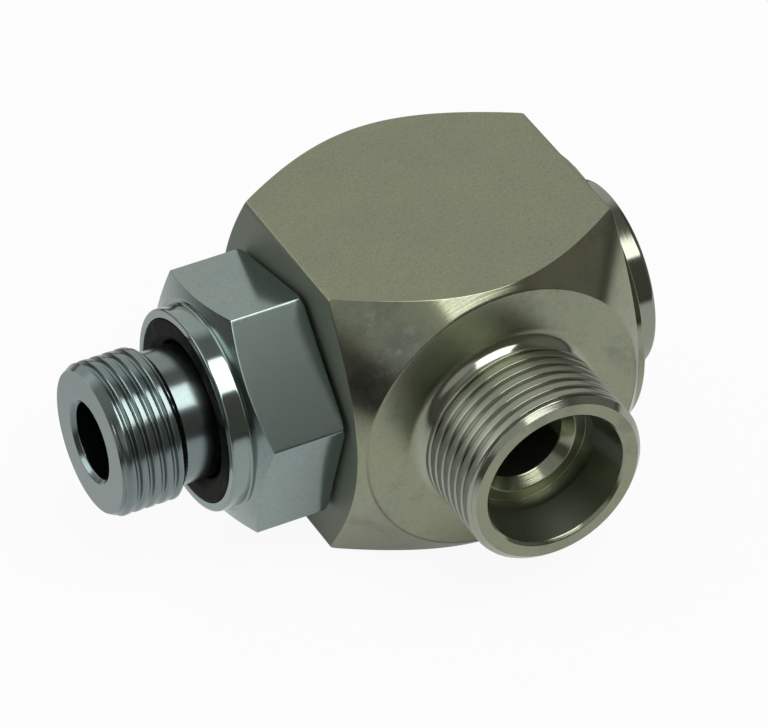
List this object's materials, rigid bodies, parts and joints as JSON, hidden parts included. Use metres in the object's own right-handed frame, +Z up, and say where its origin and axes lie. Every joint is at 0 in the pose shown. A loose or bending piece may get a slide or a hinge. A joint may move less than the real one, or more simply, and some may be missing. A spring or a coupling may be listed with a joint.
{
  "type": "swivel fitting",
  "caption": "Right-angle hydraulic swivel fitting: square steel housing with a threaded tube port, and a hexagon spindle with a sealed threaded stud that turns in it on ball bearings.",
  "frame": {"origin": "on the bottom face of the housing, straight under the point where the swivel axis and the port axis cross", "axes": "+X along the swivel axis away from the stud, -Y out of the tube port, +Z up from the bottom face"},
  "size_m": [0.0665, 0.0478, 0.036],
  "materials": {
    "housing_plating": "satin zinc-nickel plating",
    "spindle_plating": "bright zinc plating",
    "race_steel": "ground",
    "ball_steel": "polished",
    "spring_steel": "phosphated",
    "seal_rubber": "matt",
    "glide_plastic": "filled fluoroplastic"
  },
  "bodies": {
    "housing_group": {"housing": "housing_plating", "front_outer_race": "race_steel", "rear_outer_race": "race_steel", "front_glide_ring": "glide_plastic", "front_energiser_ring": "seal_rubber", "rear_glide_ring": "glide_plastic", "rear_energiser_ring": "seal_rubber", "front_dust_lip": "seal_rubber", "rear_dust_lip": "seal_rubber"},
    "spindle_group": {"spindle": "spindle_plating", "stud_seal_ring": "seal_rubber", "end_ring": "spindle_plating", "retaining_clip": "spring_steel", "preload_shim": "race_steel", "front_inner_race": "race_steel"},
    "front_ball_row": {"front_balls": "ball_steel"},
    "rear_ball_row": {"rear_balls": "ball_steel"}
  },
  "joints": [
    {"name": "swivel", "type": "hinge", "parent": "housing_group", "child": "spindle_group", "pos_m": [0, 0, 0.018], "axis": [1, 0, 0], "continuous": true},
    {"name": "front_balls_turn", "type": "hinge", "parent": "housing_group", "child": "front_ball_row", "pos_m": [0, 0, 0.018], "axis": [1, 0, 0], "continuous": true},
    {"name": "rear_balls_turn", "type": "hinge", "parent": "housing_group", "child": "rear_ball_row", "pos_m": [0, 0, 0.018], "axis": [1, 0, 0], "continuous": true}
  ],
  "couplings": [
    {"joint": "front_balls_turn", "follows": "swivel", "ratio": 0.4448},
    {"joint": "rear_balls_turn", "follows": "swivel", "ratio": 0.4448}
  ]
}
